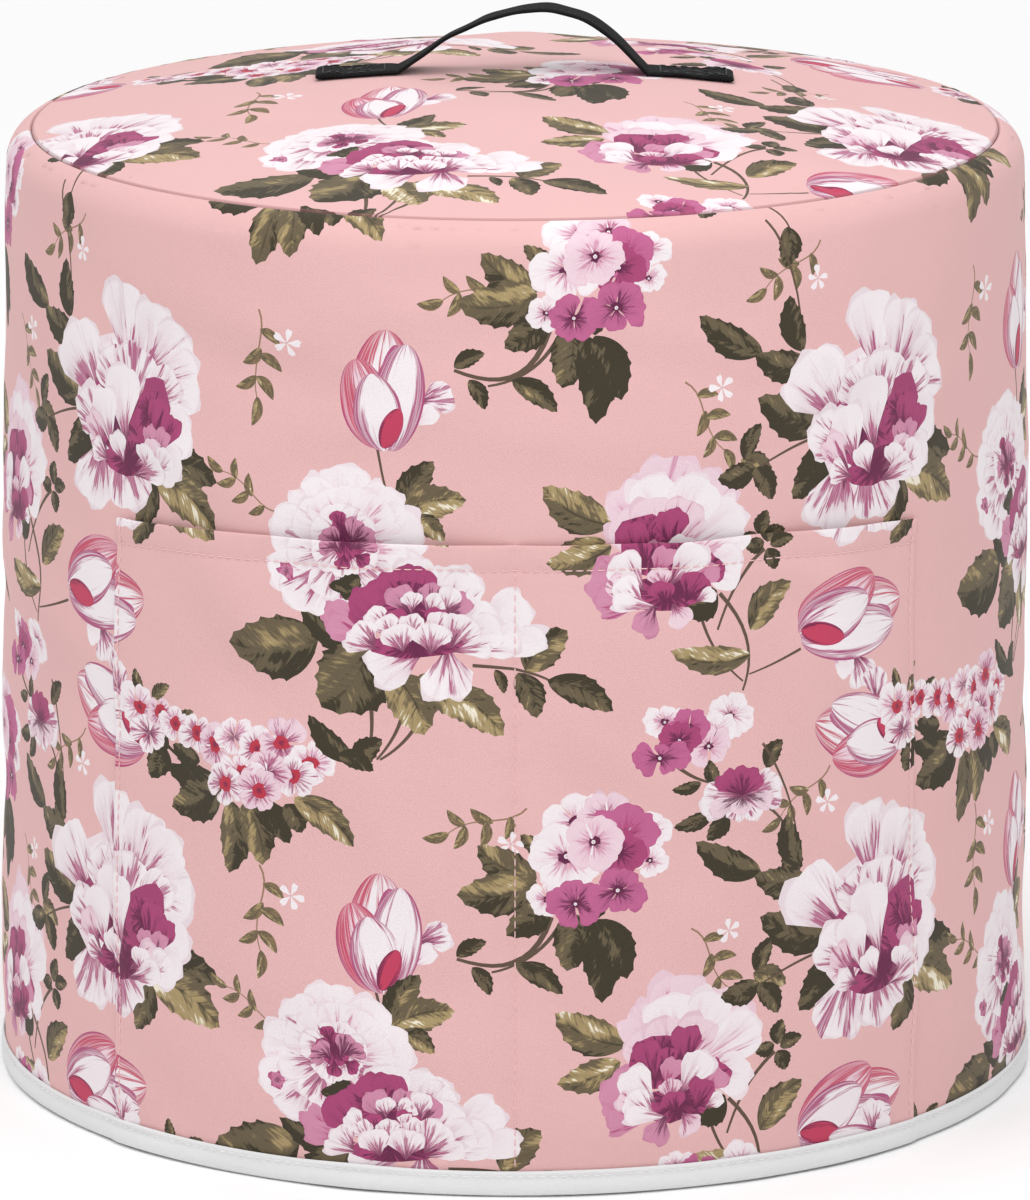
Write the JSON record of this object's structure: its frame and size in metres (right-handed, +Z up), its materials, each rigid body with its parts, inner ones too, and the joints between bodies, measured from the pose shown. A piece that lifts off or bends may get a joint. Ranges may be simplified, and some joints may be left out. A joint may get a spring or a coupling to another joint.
{
  "type": "rice cooker dust cover",
  "caption": "Round padded fabric dust cover for a rice cooker, open below, with a webbing carrying strap on its domed top and a divided pocket on the front.",
  "frame": {"origin": "centre of the bottom rim, on the surface the cover stands on", "axes": "+Z up along the drum's axis, the pocket on the front faces -Y, the strap runs along X"},
  "size_m": [0.3302, 0.3302, 0.335],
  "materials": {
    "printed_fabric": "matt woven polyester, pink ground with a peony print",
    "padding": "soft non-woven batting",
    "lining": "plain matt woven cloth",
    "binding": "white woven tape, slight sheen",
    "webbing": "black ribbed webbing",
    "pink_thread": "twisted sewing thread",
    "white_thread": "twisted sewing thread",
    "black_thread": "twisted sewing thread"
  },
  "bodies": {
    "cover": {"top_panel": "printed_fabric", "top_padding": "padding", "top_lining": "lining", "wall_panel": "printed_fabric", "wall_padding": "padding", "wall_lining": "lining", "pocket_panel": "printed_fabric", "hem_binding": "binding", "top_seam_tape": "binding", "back_seam_tape": "binding", "handle_end_left": "webbing", "handle_end_right": "webbing", "handle_left_stitch": "black_thread", "handle_right_stitch": "black_thread", "pocket_hem_stitch": "pink_thread", "pocket_centre_stitch": "pink_thread", "pocket_left_stitch": "pink_thread", "pocket_right_stitch": "pink_thread", "binding_stitch": "white_thread", "top_seam_stitch": "white_thread", "back_seam_stitch": "pink_thread"},
    "handle": {"handle_arch": "webbing"}
  },
  "joints": [
    {"name": "handle_swing", "type": "hinge", "parent": "cover", "child": "handle", "pos_m": [0, 0.006, 0.32312], "axis": [1, 0, 0], "range_deg": [-75, 75]}
  ]
}
